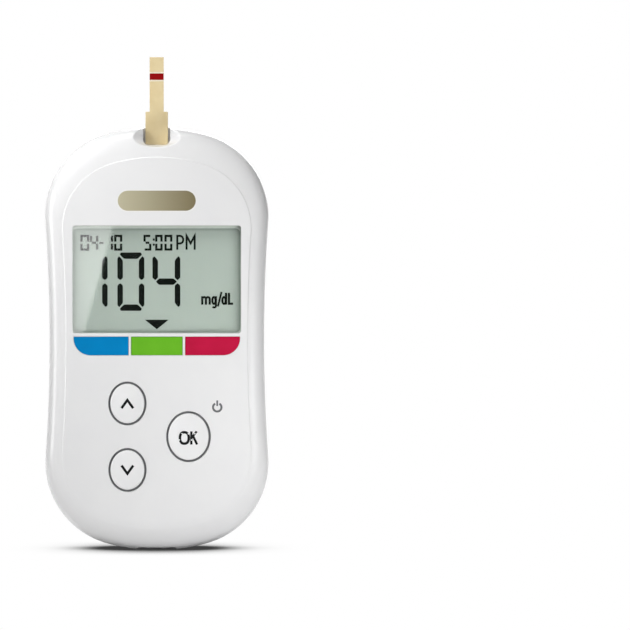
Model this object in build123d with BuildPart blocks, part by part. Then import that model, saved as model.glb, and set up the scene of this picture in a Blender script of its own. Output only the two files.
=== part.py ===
from build123d import *
from math import sqrt
import os

os.makedirs("parts", exist_ok=True)

# Blood glucose meter with its test strip in the port. It stands on a flat foot with the display
# towards -Y, X across the face and Z up, and the origin lies on the floor under its middle.
# A depth is a distance in front of the middle plane of the case: the face lies at
# + body_depth / 2 and the back at - body_depth / 2.

# ---- Case outline, seen from the front ----
body_height = 86.1        # crown to foot
waist_width = 43.8        # narrowest, at mid height
crown_radius = 38.0       # both rounded ends
shoulder_radius = 17.1
side_radius = 340.0       # hollow of the long sides
foot_cut = 0.25           # what the flat foot takes off the rounded end

# ---- Case section ----
body_depth = 16.0
wall = 1.6
parting_depth = -2.5      # joint of the two shells
seam_chamfer = 0.2
rim_drop = 0.15           # faceplate stands this far over the rim
rim_reach = 3.2           # rounded rim, front to back
crease_side = 3.5         # silhouette to the faceplate's edge
crease_top = 5.9
crease_run = 0.2          # width of the faceplate's sloping edge
foot_round = 6.0          # large rounding of the lower front edge
cavity_round = 2.0
back_round = 5.0
lip_height = 0.8          # tongue of the rear shell in the front shell
lip_inset = 0.9
fit_gap = 0.05            # pieces that seat in a recess
loose_gap = 0.15          # pieces that slide or lift out

# ---- Display ----
window_side = 1.22        # faceplate left beside the window
window_height = 22.0
window_middle = 55.35     # above the foot
window_corner = 0.6
lens_recess = 0.15
lens_flange = 0.7
flange_margin = 1.0
gasket_thickness = 0.5
gasket_side = 0.1         # what the gasket shows inside the window
gasket_top = 0.63
gasket_bottom = 0.1
gasket_corner = 1.1
glass_thickness = 0.9
glass_margin = 0.9
glass_ledge = 2.6         # front glass past the rear glass, for the contacts
reflector_thickness = 0.2
holder_wall = 0.9
holder_floor = 0.8
zebra_width = 1.6
zebra_inset = 1.15        # its ends, in from the window's sides

# ---- Range bar and name plate ----
range_drop = 0.68         # window to the bar below it
range_height = 3.75
range_inset = 0.25        # its ends, in from the window's sides
range_middle_width = 10.45
range_gap = 0.57
range_corner = 3.4
inlay_thickness = 0.6
inlay_recess = 0.04
plate_width = 15.9
plate_height = 4.1
plate_middle = 71.42
plate_thickness = 0.5

# ---- Buttons: middle x, middle z, width and height of the hole in the face ----
buttons = {
    "up": (-6.02, 30.06, 7.74, 8.9),
    "down": (-6.02, 16.48, 7.74, 8.9),
    "ok": (6.43, 23.27, 9.06, 10.35),
}
button_gap = 0.4          # ring of keypad seen round each cap
button_proud = 0.35
button_travel = 0.4
button_round = 0.35
hole_round = 0.2          # edge of each hole in the face
button_dome_radius = 45.0
cap_length = 2.0
pad_margin = 0.35
pad_wall = 1.0
collar_gap = 0.1          # cap to the thin collar that fills the gap round it
collar_sink = 0.35        # collar below the face
mat_thickness = 0.8
mat_margin = 1.0
plunger_radius = 1.3
dome_radius = 2.5
dome_height = 0.4
dome_round = 0.3

# ---- Circuit board ----
board_front = 1.6         # depth of its front face
board_thickness = 1.0
board_margin = 0.8        # to the case wall
board_top = 80.2
chip_size = 9.0
chip_thickness = 1.0
chip_place = (-9.0, 58.0)
sensor_size = (5.0, 4.0)
sensor_thickness = 0.9
sensor_place = (9.5, 66.0)
crystal_size = (3.2, 1.5)
crystal_thickness = 0.8
crystal_place = (-1.5, 58.0)
capacitor_size = (1.6, 0.8)
capacitor_thickness = 0.8
capacitor_place = (10.0, 54.0)
capacitor_pitch = (3.0, 2.4)
capacitor_rows = 3

# ---- Test strip and its port ----
strip_top = 100.5
strip_shoulder = 89.35
strip_shoulder_round = 0.4
strip_corner = 0.2        # outer corners of the shoulders
strip_narrow = 2.88
strip_wide = 4.6
strip_base_thickness = 0.25
strip_film_thickness = 0.15
strip_front = -0.2        # depth of its front face
strip_end = 71.05
strip_slot_gap = 0.1      # to each side of its thickness
notch_floor = 82.6
notch_fall = 0.25         # floor of the notch falls this much to the front
notch_well_width = 5.5    # well that the strip stands in
notch_rear = -1.3         # depth of its rear wall
notch_corner = 1.2
notch_over = 0.5          # how far its cut runs past the crown
notch_flare_start = 4.4   # depth where the well starts to flare out
notch_mouth_width = 12.4  # of the flare, at the depth of the face
notch_middle = 85.1       # widest part of the flare
notch_lip_round = 0.3
port_block_width = 13.2
port_block_bottom = 80.6
socket_width = 9.2
socket_height = 10.3
socket_depth = 3.0
contact_pitch = 1.5
contact_width = 0.8
contact_thickness = 0.2
contact_tail = 0.5        # tail below the socket
contact_tip = 2.4         # free end, down from the mouth of the socket
contact_bend = 4.0        # where it presses on the strip
socket_bridge = 1.6       # solid end of the socket over its channels
contact_places = (-contact_pitch, 0, contact_pitch)

# ---- Battery ----
cell_radius = 10.0
cell_thickness = 3.2
cell_middle = 33.0
cell_rear = -5.85         # depth of its rear face
tray_floor_thickness = 1.0
tray_wall = 1.0
door_width = 23.6
door_height = 26.0
door_thickness = 1.2
door_corner = 3.0
door_ledge = 1.2
hook_place = 7.5
hook_width = 4.0
hook_thickness = 0.8
hook_stem = 1.2
hook_reach = 1.1
latch_height = 1.2
latch_depth = 0.8
thumb_radius = 4.0
thumb_depth = 0.6
cell_loose = 0.3          # between the cell's rim and its tray
can_sheet = 0.25
seal_thickness = 0.45
cell_round = 0.4
spring_width = 4.0
spring_thickness = 0.2
spring_reach = 9.0        # leg of the negative spring, from the middle

# ---- Data port ----
usb_width = 7.6
usb_height = 2.9
usb_length = 5.2
usb_sheet = 0.3
usb_corner = 0.8
usb_tongue_width = 5.4
usb_setback = 0.9         # mouth above the foot
usb_base = 1.2            # closed inner end

# ---- Screws ----
case_screw_side = 7.4     # in from the waist
case_screw_end = 13.5     # in from each end
screw_radius = 0.85
screw_head_radius = 1.6
screw_head_height = 1.0
screw_length = 7.0
recess_length = 2.0
recess_width = 0.5
screw_sink = 1.4
boss_radius = 2.2         # front shell, around the threads
head_boss_radius = 2.6    # rear shell, around the heads
pilot_reach = 0.5         # pilot hole past the screw's tip
board_screw_side = 5.4    # in from the waist
board_screw_height = 34.0
board_screw_length = 4.0
board_post_radius = 1.7

# ---- Rating label ----
label_width = 26.0
label_height = 13.0
label_middle = 61.5
label_thickness = 0.1
label_corner = 1.0

# ---- Worked-out sizes across the face ----
window_width = waist_width - 2 * (crease_side + window_side)
range_width = window_width - 2 * range_inset
range_top = window_middle - window_height / 2 - range_drop
zebra_length = window_width - 2 * zebra_inset
case_screw_x = waist_width / 2 - case_screw_side
case_screw_heights = (case_screw_end, body_height - case_screw_end)
case_screw_spots = [(x, z) for x in (-case_screw_x, case_screw_x) for z in case_screw_heights]
board_screw_x = waist_width / 2 - board_screw_side
board_screw_spots = [(-board_screw_x, board_screw_height), (board_screw_x, board_screw_height)]

# ---- Worked-out depths ----
face_depth = body_depth / 2
back_depth = -body_depth / 2
rim_depth = face_depth - rim_drop
rim_start = rim_depth - rim_reach
inner_face = face_depth - wall
inner_back = back_depth + wall
foot_start = face_depth - foot_round
middle_height = (body_height - foot_cut) / 2
flange_back = inner_face - lens_flange
gasket_front = flange_back - fit_gap
gasket_back = gasket_front - gasket_thickness
front_glass_back = gasket_back - glass_thickness
rear_glass_back = front_glass_back - glass_thickness
reflector_back = rear_glass_back - reflector_thickness
board_back = board_front - board_thickness
pad_top = face_depth + button_proud - cap_length - button_travel - fit_gap
strip_middle = strip_front - strip_film_thickness
strip_back = strip_middle - strip_base_thickness
cell_front = cell_rear + cell_thickness
tray_front = cell_front + spring_thickness + fit_gap
door_front = back_depth + door_thickness
door_top = cell_middle + door_height / 2
door_bottom = cell_middle - door_height / 2


def layer(depth):
    """Plane at a depth, facing the front, with its own y axis up."""
    return Plane.XZ.offset(depth)


def crossing(middle_a, radius_a, middle_b, radius_b):
    """Where two circles cross, on the left of the way from the first to the second."""
    way = middle_b - middle_a
    along = (way.length**2 + radius_a**2 - radius_b**2) / (2 * way.length)
    aside = sqrt(radius_a**2 - along**2)
    return middle_a + way.normalized() * along + way.normalized().rotate(Axis.Z, 90) * aside


def outline(depth, side, top, bottom):
    """Case outline at a depth, drawn in from the silhouette at its sides, top and bottom."""
    crown = Vector(0, body_height - crown_radius)
    foot = Vector(0, crown_radius - foot_cut)
    hollow = Vector(waist_width / 2 + side_radius, middle_height)
    upper = crossing(crown, crown_radius - top, hollow, side_radius + side)
    lower = crossing(hollow, side_radius + side, foot, crown_radius - bottom)
    waist = waist_width / 2 - side
    with BuildSketch(layer(depth)) as section:
        with BuildLine():
            ThreePointArc((-upper.X, upper.Y), (0, body_height - top), (upper.X, upper.Y))
            ThreePointArc((upper.X, upper.Y), (waist, middle_height), (lower.X, lower.Y))
            ThreePointArc((lower.X, lower.Y), (0, bottom - foot_cut), (-lower.X, lower.Y))
            ThreePointArc((-lower.X, lower.Y), (-waist, middle_height), (-upper.X, upper.Y))
        make_face()
        fillet(section.vertices(), shoulder_radius - side)
    return section.sketch


def even_outline(depth, inset):
    """Case outline at a depth, drawn in by the same amount all round."""
    return outline(depth, inset, inset, inset)


def rounded(distance, start, reach, run):
    """How far a quarter-round edge has drawn in at a distance from the middle plane."""
    rise = min(max((distance - start) / reach, 0), 1)
    return run * (1 - sqrt(1 - rise**2))


def front_section(depth):
    """Outside of the front shell: rounded rim, raised faceplate and large lower rounding."""
    edge = max(depth - rim_depth, 0) / rim_drop * crease_run
    side = rounded(depth, rim_start, rim_reach, crease_side - crease_run) + edge
    top = rounded(depth, rim_start, rim_reach, crease_top - crease_run) + edge
    return outline(depth, side, top, rounded(depth, foot_start, foot_round, foot_round))


def front_cavity_section(depth):
    """Inside of the front shell."""
    edge = wall + rounded(depth, inner_face - cavity_round, cavity_round, cavity_round)
    lower = wall + rounded(depth, foot_start, foot_round - wall, foot_round - wall)
    return outline(depth, edge, edge, lower)


def back_section(depth, inset):
    """Rear shell, outside with no inset and inside with the wall as inset."""
    radius = back_round - inset
    return even_outline(depth, inset + rounded(-depth, -back_depth - back_round, radius, radius))


def depths_between(start, end, shares):
    """Depths at the given shares of the way between two depths."""
    return [start + share * (end - start) for share in shares]


# Where the sections of a loft lie between its ends
STRAIGHT = (0, 0.5, 1)
ROUND = (0, 0.45, 0.75, 0.93, 1)
ROLL = (0, 0.35, 0.65, 0.85, 0.96, 1)
BEVEL = (0, 0.35, 0.7, 1)


def block(x_range, depth_range, z_range):
    """Profile of a plain block on its front plane, and how far it runs back."""
    with BuildSketch(layer(max(depth_range))) as profile:
        with Locations((sum(x_range) / 2, sum(z_range) / 2)):
            Rectangle(x_range[1] - x_range[0], z_range[1] - z_range[0])
    return profile.sketch, -abs(depth_range[1] - depth_range[0])


def add_block(x_range, depth_range, z_range, mode=Mode.ADD):
    """Add or cut a plain block given by its two ends along X, in depth and along Z."""
    profile, run = block(x_range, depth_range, z_range)
    extrude(profile, amount=run, mode=mode)


def add_post(place, radius, depth_range, mode=Mode.ADD):
    """Add or cut a round post that runs from front to back."""
    with BuildSketch(layer(max(depth_range))) as profile:
        with Locations(place):
            Circle(radius)
    extrude(profile.sketch, amount=-abs(depth_range[1] - depth_range[0]), mode=mode)


def cut_flat_foot():
    """Cut the rounded bottom end off flat at the floor."""
    add_block((-waist_width, waist_width), (back_depth, face_depth), (-body_depth, 0), Mode.SUBTRACT)


def finish(piece, name):
    """Name a finished piece and write its file."""
    piece.label = name
    export_step(piece, f"parts/{name}.step")


# ---- Outer and inner forms of the two shells ----
with BuildPart() as front_form:
    seam = parting_depth + seam_chamfer
    loft([even_outline(parting_depth, seam_chamfer), even_outline(seam, 0)], ruled=True)
    extrude(even_outline(seam, 0), amount=foot_start - seam)
    loft([front_section(depth) for depth in depths_between(foot_start, rim_start, STRAIGHT)])
    loft([front_section(depth) for depth in depths_between(rim_start, rim_depth, ROLL)])
    loft([front_section(depth) for depth in depths_between(rim_depth, face_depth, BEVEL)])
    cut_flat_foot()

with BuildPart() as front_cavity:
    cavity_turn = inner_face - cavity_round
    extrude(even_outline(parting_depth, wall), amount=foot_start - parting_depth)
    loft([front_cavity_section(depth) for depth in depths_between(foot_start, cavity_turn, STRAIGHT)])
    loft([front_cavity_section(depth) for depth in depths_between(cavity_turn, inner_face, ROUND)])
    port_block_range = (-port_block_width / 2, port_block_width / 2)
    add_block(port_block_range, (back_depth, face_depth), (port_block_bottom, body_height), Mode.SUBTRACT)

with BuildPart() as back_form:
    seam = parting_depth - seam_chamfer
    round_start = back_depth + back_round
    loft([even_outline(parting_depth, seam_chamfer), even_outline(seam, 0)], ruled=True)
    extrude(even_outline(seam, 0), amount=round_start - seam)
    loft([back_section(depth, 0) for depth in depths_between(round_start, back_depth, ROUND)])
    cut_flat_foot()

with BuildPart() as back_cavity:
    extrude(even_outline(parting_depth, wall), amount=round_start - parting_depth)
    loft([back_section(depth, wall) for depth in depths_between(round_start, inner_back, ROUND)])

# ---- Tongue of the rear shell and the groove it stands in ----
with BuildPart() as lip:
    extrude(even_outline(parting_depth, lip_inset + fit_gap), amount=lip_height)
    extrude(even_outline(parting_depth, wall), amount=lip_height, mode=Mode.SUBTRACT)

with BuildPart() as lip_groove:
    extrude(even_outline(parting_depth, lip_inset), amount=lip_height + fit_gap)
    extrude(even_outline(parting_depth, wall), amount=lip_height + fit_gap, mode=Mode.SUBTRACT)


# ---- Outlines that more than one piece shares ----
def window(depth, margin, corner):
    """Window outline at a depth, made larger all round by a margin."""
    with BuildSketch(layer(depth)) as section:
        with Locations((0, window_middle)):
            RectangleRounded(window_width + 2 * margin, window_height + 2 * margin, corner)
    return section.sketch


def button_oval(name, depth, margin):
    """Oval of a button's hole at a depth, made larger all round by a margin."""
    middle_x, middle_z, width, height = buttons[name]
    with BuildSketch(layer(depth)) as section:
        with Locations((middle_x, middle_z)):
            Ellipse(width / 2 + margin, height / 2 + margin)
    return section.sketch


def range_segment(name, depth, margin):
    """One field of the range bar at a depth, with its outer lower corner rounded."""
    side_width = (range_width - range_middle_width) / 2 - range_gap
    side_middle = (range_width - side_width) / 2
    middle_x = {"low": -side_middle, "mid": 0, "high": side_middle}[name]
    width = range_middle_width if name == "mid" else side_width
    with BuildSketch(layer(depth)) as section:
        with Locations((middle_x, range_top - range_height / 2)):
            Rectangle(width + 2 * margin, range_height + 2 * margin)
        lower_corners = section.vertices().group_by(Axis.Y)[0].sort_by(Axis.X)
        if name == "low":
            fillet(lower_corners[0], range_corner + margin)
        if name == "high":
            fillet(lower_corners[-1], range_corner + margin)
    return section.sketch


def name_pill(depth, margin):
    """Outline of the name plate at a depth, made larger all round by a margin."""
    with BuildSketch(layer(depth)) as section:
        with Locations((0, plate_middle)):
            SlotOverall(plate_width + 2 * margin, plate_height + 2 * margin)
    return section.sketch


def door_outline(depth, margin):
    """Outline of the battery door at a depth, made larger all round by a margin."""
    with BuildSketch(layer(depth)) as section:
        with Locations((0, cell_middle)):
            RectangleRounded(door_width + 2 * margin, door_height + 2 * margin, door_corner + margin)
    return section.sketch


def rating_field(depth, margin):
    """Outline of the rating label at a depth, made larger all round by a margin."""
    with BuildSketch(layer(depth)) as section:
        with Locations((0, label_middle)):
            RectangleRounded(label_width + 2 * margin, label_height + 2 * margin, label_corner + margin)
    return section.sketch


def notch_flare(depth, width, floor):
    """Oval of the notch's flare at a depth."""
    with BuildSketch(layer(depth)) as section:
        with Locations((0, notch_middle)):
            Ellipse(width / 2, notch_middle - floor)
    return section.sketch


def usb_section(height, margin):
    """Mouth of the data port on a level plane, made larger all round by a margin."""
    with BuildSketch(Plane.XY.offset(height)) as section:
        with Locations((0, -board_front - usb_height / 2)):
            RectangleRounded(usb_width + 2 * margin, usb_height + 2 * margin, usb_corner + margin)
    return section.sketch


screw_seat = back_depth + screw_sink + screw_head_height
screw_tip = screw_seat + screw_length

# ---- Front shell ----
with BuildPart() as notch:
    with BuildSketch(layer(face_depth)) as well:
        with Locations((0, notch_floor)):
            well_height = body_height + notch_over - notch_floor
            Rectangle(notch_well_width, well_height, align=(Align.CENTER, Align.MIN))
        fillet(well.vertices().group_by(Axis.Y)[0], notch_corner)
    extrude(well.sketch, amount=notch_rear - face_depth)
    loft([
        notch_flare(notch_flare_start, notch_well_width, notch_floor),
        notch_flare(face_depth, notch_mouth_width, notch_floor - notch_fall),
    ], ruled=True)

with BuildPart() as front_shell:
    add(front_form.part)
    add(front_cavity.part, mode=Mode.SUBTRACT)
    add(lip_groove.part, mode=Mode.SUBTRACT)
    for spot in case_screw_spots:
        add_post(spot, boss_radius, (inner_face, parting_depth + fit_gap))
        add_post(spot, screw_radius + fit_gap, (screw_tip + pilot_reach, parting_depth), Mode.SUBTRACT)
    for spot in board_screw_spots:
        add_post(spot, board_post_radius, (inner_face, board_front))
        pilot_tip = board_back + board_screw_length + pilot_reach
        add_post(spot, screw_radius + fit_gap, (pilot_tip, board_front), Mode.SUBTRACT)
    extrude(window(face_depth, 0, window_corner), amount=-wall, mode=Mode.SUBTRACT)
    for name in buttons:
        extrude(button_oval(name, face_depth, 0), amount=-wall, mode=Mode.SUBTRACT)
    fillet(front_shell.edges().group_by(Axis.Y)[0].filter_by(GeomType.ELLIPSE), hole_round)
    for name in ("low", "mid", "high"):
        recess = range_segment(name, face_depth, fit_gap)
        extrude(recess, amount=-inlay_thickness - inlay_recess, mode=Mode.SUBTRACT)
    extrude(name_pill(face_depth, fit_gap), amount=-plate_thickness, mode=Mode.SUBTRACT)
    extrude(usb_section(0, loose_gap), amount=2 * wall, mode=Mode.SUBTRACT)
    add(notch.part, mode=Mode.SUBTRACT)
    lip_middle = (0, -face_depth, notch_floor - notch_fall)
    fillet(front_shell.edges().sort_by_distance(lip_middle)[0], notch_lip_round)
    slot_x = (-strip_wide / 2 - loose_gap, strip_wide / 2 + loose_gap)
    slot_depth = (strip_front + strip_slot_gap, strip_back - strip_slot_gap)
    add_block(slot_x, slot_depth, (port_block_bottom - wall, notch_floor + wall), Mode.SUBTRACT)
finish(front_shell.part, "front_shell")

# ---- Rear shell with the battery tray ----
tray_radius = cell_radius + cell_loose
door_seat = door_front + fit_gap
spring_z = (cell_middle - spring_width / 2, cell_middle + spring_width / 2)
slot_z = (spring_z[0] - loose_gap, spring_z[1] + loose_gap)
can_spring_x = (-cell_radius - fit_gap - spring_thickness, -cell_radius - fit_gap)
can_slot_x = (can_spring_x[0] - loose_gap, can_spring_x[1] + loose_gap)
leg_x = (spring_reach - spring_thickness, spring_reach)
leg_slot_x = (leg_x[0] - loose_gap, leg_x[1] + loose_gap)
hook_x = [(side * hook_place - hook_width / 2, side * hook_place + hook_width / 2) for side in (-1, 1)]
tray_face = tray_front + tray_floor_thickness

with BuildPart() as rear_shell:
    add(back_form.part)
    add(back_cavity.part, mode=Mode.SUBTRACT)
    add(lip.part)
    for spot in case_screw_spots:
        add_post(spot, head_boss_radius, (parting_depth, inner_back))
        add_post(spot, screw_radius + loose_gap, (parting_depth, back_depth), Mode.SUBTRACT)
        add_post(spot, screw_head_radius + loose_gap, (screw_seat, back_depth), Mode.SUBTRACT)
    add_post((0, cell_middle), tray_radius + tray_wall, (tray_face, inner_back))
    add_post((0, cell_middle), tray_radius, (tray_front, inner_back), Mode.SUBTRACT)
    extrude(door_outline(inner_back, loose_gap - door_ledge), amount=-wall, mode=Mode.SUBTRACT)
    extrude(door_outline(door_seat, loose_gap), amount=-wall, mode=Mode.SUBTRACT)
    for start, end in hook_x:
        notch_x = (start - 2 * loose_gap, end + 2 * loose_gap)
        notch_z = (door_top - door_ledge, door_top + loose_gap)
        add_block(notch_x, (inner_back, back_depth), notch_z, Mode.SUBTRACT)
    add_block(can_slot_x, (tray_face, inner_back), slot_z, Mode.SUBTRACT)
    add_block(leg_slot_x, (tray_face, tray_front), slot_z, Mode.SUBTRACT)
    add_post((0, door_bottom), thumb_radius, (back_depth + thumb_depth, back_depth), Mode.SUBTRACT)
    label_seat = back_depth + label_thickness + fit_gap
    extrude(rating_field(label_seat, fit_gap), amount=-wall, mode=Mode.SUBTRACT)
finish(rear_shell.part, "rear_shell")

# ---- Battery door: plate, two hooks over its top edge and two latch ribs ----
with BuildPart() as battery_door:
    extrude(door_outline(door_front, 0), amount=-door_thickness)
    hook_back = inner_back + loose_gap
    hook_front = hook_back + hook_thickness
    for start, end in hook_x:
        add_block((start, end), (hook_front, door_front), (door_top - hook_stem, door_top))
        add_block((start, end), (hook_front, hook_back), (door_top - fit_gap, door_top + hook_reach))
        latch_start = door_bottom + door_ledge + loose_gap
        latch_z = (latch_start, latch_start + latch_height)
        add_block((start, end), (door_front + latch_depth, door_front), latch_z)
finish(battery_door.part, "battery_door")

# ---- Display ----
with BuildPart() as display_window:
    extrude(window(face_depth - lens_recess, -fit_gap, window_corner), amount=lens_recess - wall)
    extrude(window(inner_face, flange_margin, window_corner + flange_margin), amount=-lens_flange)
finish(display_window.part, "display_window")

with BuildPart() as display_gasket:
    extrude(window(gasket_front, flange_margin, window_corner + flange_margin), amount=-gasket_thickness)
    opening_width = window_width - 2 * gasket_side
    opening_height = window_height - gasket_top - gasket_bottom
    opening_middle = window_middle + (gasket_bottom - gasket_top) / 2
    with BuildSketch(layer(gasket_front)) as gasket_opening:
        with Locations((0, opening_middle)):
            RectangleRounded(opening_width, opening_height, gasket_corner)
    extrude(gasket_opening.sketch, amount=-gasket_thickness, mode=Mode.SUBTRACT)
finish(display_gasket.part, "display_gasket")

glass_x = (-window_width / 2 - glass_margin, window_width / 2 + glass_margin)
glass_top = window_middle + window_height / 2 + glass_margin
rear_glass_bottom = window_middle - window_height / 2 - glass_margin
front_glass_bottom = rear_glass_bottom - glass_ledge
zebra_middle = (front_glass_bottom + rear_glass_bottom) / 2
zebra_x = (-zebra_length / 2, zebra_length / 2)
zebra_z = (zebra_middle - zebra_width / 2, zebra_middle + zebra_width / 2)


def wider(span, margin):
    """Span with both ends moved out by a margin."""
    return (span[0] - margin, span[1] + margin)


with BuildPart() as lcd_front_glass:
    add_block(glass_x, (gasket_back, front_glass_back), (front_glass_bottom, glass_top))
finish(lcd_front_glass.part, "lcd_front_glass")

with BuildPart() as lcd_rear_glass:
    add_block(glass_x, (front_glass_back, rear_glass_back), (rear_glass_bottom, glass_top))
finish(lcd_rear_glass.part, "lcd_rear_glass")

with BuildPart() as lcd_reflector:
    add_block(glass_x, (rear_glass_back, reflector_back), (rear_glass_bottom, glass_top))
finish(lcd_reflector.part, "lcd_reflector")

with BuildPart() as lcd_holder:
    pocket_x = wider(glass_x, fit_gap)
    front_z = wider((front_glass_bottom, glass_top), fit_gap)
    rear_z = wider((rear_glass_bottom, glass_top), fit_gap)
    floor_back = reflector_back - holder_floor
    add_block(wider(pocket_x, holder_wall), (gasket_back, board_front), wider(front_z, holder_wall))
    add_block(pocket_x, (gasket_back, front_glass_back), front_z, Mode.SUBTRACT)
    add_block(pocket_x, (front_glass_back, reflector_back), rear_z, Mode.SUBTRACT)
    add_block(pocket_x, (floor_back, board_front), rear_z, Mode.SUBTRACT)
    zebra_slot_x = wider(zebra_x, fit_gap)
    zebra_slot_z = wider(zebra_z, fit_gap)
    add_block(zebra_slot_x, (front_glass_back, board_front), zebra_slot_z, Mode.SUBTRACT)
finish(lcd_holder.part, "lcd_holder")

with BuildPart() as zebra_connector:
    add_block(zebra_x, (front_glass_back, board_front), zebra_z)
finish(zebra_connector.part, "zebra_connector")

# ---- Range bar and name plate, inlaid in the face ----
for name in ("low", "mid", "high"):
    with BuildPart() as inlay:
        extrude(range_segment(name, face_depth - inlay_recess, 0), amount=-inlay_thickness)
    finish(inlay.part, f"range_bar_{name}")

with BuildPart() as name_plate:
    extrude(name_pill(face_depth, 0), amount=-plate_thickness)
finish(name_plate.part, "name_plate")

# ---- Keypad: caps on the pads of one silicone mat, and the domes under them ----
for name, (middle_x, middle_z, width, height) in buttons.items():
    with BuildPart() as cap:
        cap_top = face_depth + button_proud
        extrude(button_oval(name, cap_top, -button_gap), amount=-cap_length)
        with Locations((middle_x, button_dome_radius - cap_top, middle_z)):
            Sphere(button_dome_radius, mode=Mode.INTERSECT)
        fillet(cap.edges().group_by(Axis.Y)[0], button_round)
    finish(cap.part, f"button_{name}")

with BuildPart() as keypad_mat:
    lefts = [x - width / 2 for x, z, width, height in buttons.values()]
    rights = [x + width / 2 for x, z, width, height in buttons.values()]
    bottoms = [z - height / 2 for x, z, width, height in buttons.values()]
    tops = [z + height / 2 for x, z, width, height in buttons.values()]
    mat_x = wider((min(lefts), max(rights)), mat_margin)
    mat_z = wider((min(bottoms), max(tops)), mat_margin)
    add_block(mat_x, (board_front, board_front + mat_thickness), mat_z)
    for name, (middle_x, middle_z, width, height) in buttons.items():
        hollow_depth = pad_top - pad_wall
        plunger_end = board_front + dome_height + button_travel + fit_gap
        extrude(button_oval(name, board_front, pad_margin), amount=pad_top - board_front)
        hollow = button_oval(name, board_front, pad_margin - pad_wall)
        extrude(hollow, amount=hollow_depth - board_front, mode=Mode.SUBTRACT)
        add_post((middle_x, middle_z), plunger_radius, (hollow_depth, plunger_end))
        collar_height = face_depth - collar_sink - pad_top
        extrude(button_oval(name, pad_top, -collar_gap), amount=collar_height)
        extrude(button_oval(name, pad_top, collar_gap - button_gap), amount=collar_height, mode=Mode.SUBTRACT)
finish(keypad_mat.part, "keypad_mat")

with BuildPart() as dome_switches:
    for middle_x, middle_z, width, height in buttons.values():
        add_post((middle_x, middle_z), dome_radius, (board_front, board_front + dome_height))
    fillet(dome_switches.edges().group_by(Axis.Y)[0], dome_round)
finish(dome_switches.part, "dome_switches")

# ---- Circuit board and what is soldered to it ----
with BuildPart() as circuit_board:
    board_inset = wall + board_margin
    extrude(outline(board_front, board_inset, body_height - board_top, board_inset), amount=-board_thickness)
    for spot in case_screw_spots:
        add_post(spot, boss_radius + loose_gap, (board_front, board_back), Mode.SUBTRACT)
    for spot in board_screw_spots:
        add_post(spot, screw_radius + loose_gap, (board_front, board_back), Mode.SUBTRACT)
finish(circuit_board.part, "circuit_board")


def add_chip(place, size, thickness):
    """Block on the rear face of the board."""
    x, z = place
    width, height = size
    chip_x = (x - width / 2, x + width / 2)
    chip_z = (z - height / 2, z + height / 2)
    add_block(chip_x, (board_back, board_back - thickness), chip_z)


with BuildPart() as microcontroller:
    add_chip(chip_place, (chip_size, chip_size), chip_thickness)
finish(microcontroller.part, "microcontroller")

with BuildPart() as measuring_chip:
    add_chip(sensor_place, sensor_size, sensor_thickness)
finish(measuring_chip.part, "measuring_chip")

with BuildPart() as clock_crystal:
    add_chip(crystal_place, crystal_size, crystal_thickness)
finish(clock_crystal.part, "clock_crystal")

with BuildPart() as board_capacitors:
    for row in range(capacitor_rows):
        for column in range(2):
            place_x = capacitor_place[0] + column * capacitor_pitch[0]
            place_z = capacitor_place[1] + row * capacitor_pitch[1]
            add_chip((place_x, place_z), capacitor_size, capacitor_thickness)
finish(board_capacitors.part, "board_capacitors")

# ---- Strip socket, its spring contacts and the test strip ----
socket_top = board_top
socket_bottom = socket_top - socket_height
socket_back = board_back - socket_depth
channel_back = socket_back + 2 * contact_thickness

with BuildPart() as strip_socket:
    socket_x = (-socket_width / 2, socket_width / 2)
    add_block(socket_x, (board_back, socket_back), (socket_bottom, socket_top))
    add_block(slot_x, slot_depth, (strip_end - fit_gap, socket_top), Mode.SUBTRACT)
    for x in contact_places:
        channel_x = wider((x - contact_width / 2, x + contact_width / 2), loose_gap)
        channel_z = (socket_bottom, socket_top - socket_bridge)
        add_block(channel_x, (slot_depth[1], channel_back), channel_z, Mode.SUBTRACT)
finish(strip_socket.part, "strip_socket")

with BuildPart() as strip_contacts:
    touch = -strip_back + fit_gap + contact_thickness / 2
    rest = -channel_back - contact_thickness
    tail_z = socket_bottom - contact_tail
    for x in contact_places:
        with BuildSketch(Plane.YZ.offset(x - contact_width / 2)) as leaf:
            with BuildLine():
                Polyline(
                    (-board_back, tail_z),
                    (rest, tail_z),
                    (rest, strip_end + contact_width),
                    (touch, socket_top - contact_bend),
                    (rest, socket_top - contact_tip),
                )
            trace(line_width=contact_thickness)
        extrude(leaf.sketch, amount=contact_width)
finish(strip_contacts.part, "strip_contacts")


def strip_shape(depth, start):
    """Test strip outline at a depth from its inner end: wide tail, small shoulders, narrow tip."""
    wide = strip_wide / 2
    narrow = strip_narrow / 2
    with BuildSketch(layer(depth)) as section:
        with BuildLine():
            Polyline(
                (wide, start),
                (wide, strip_shoulder),
                (narrow, strip_shoulder),
                (narrow, strip_top),
                (-narrow, strip_top),
                (-narrow, strip_shoulder),
                (-wide, strip_shoulder),
                (-wide, start),
                close=True,
            )
        make_face()
        corners = section.vertices().group_by(Axis.Y)[1].sort_by(Axis.X)
        fillet([corners[0], corners[-1]], strip_corner)
        fillet(corners[1:-1], strip_shoulder_round)
    return section.sketch


with BuildPart() as strip_film:
    extrude(strip_shape(strip_front, strip_end), amount=-strip_film_thickness)
finish(strip_film.part, "strip_film")

with BuildPart() as strip_base:
    extrude(strip_shape(strip_middle, strip_end), amount=-strip_base_thickness)
finish(strip_base.part, "strip_base")

# ---- Coin cell: can, sealing ring and cap ----
with BuildPart() as cell_can:
    rim_front = cell_front - can_sheet
    add_post((0, cell_middle), cell_radius, (rim_front, cell_rear))
    fillet(cell_can.edges().group_by(Axis.Y)[-1], cell_round)
    add_post((0, cell_middle), cell_radius - can_sheet, (rim_front, cell_rear + can_sheet), Mode.SUBTRACT)
finish(cell_can.part, "cell_can")

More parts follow.
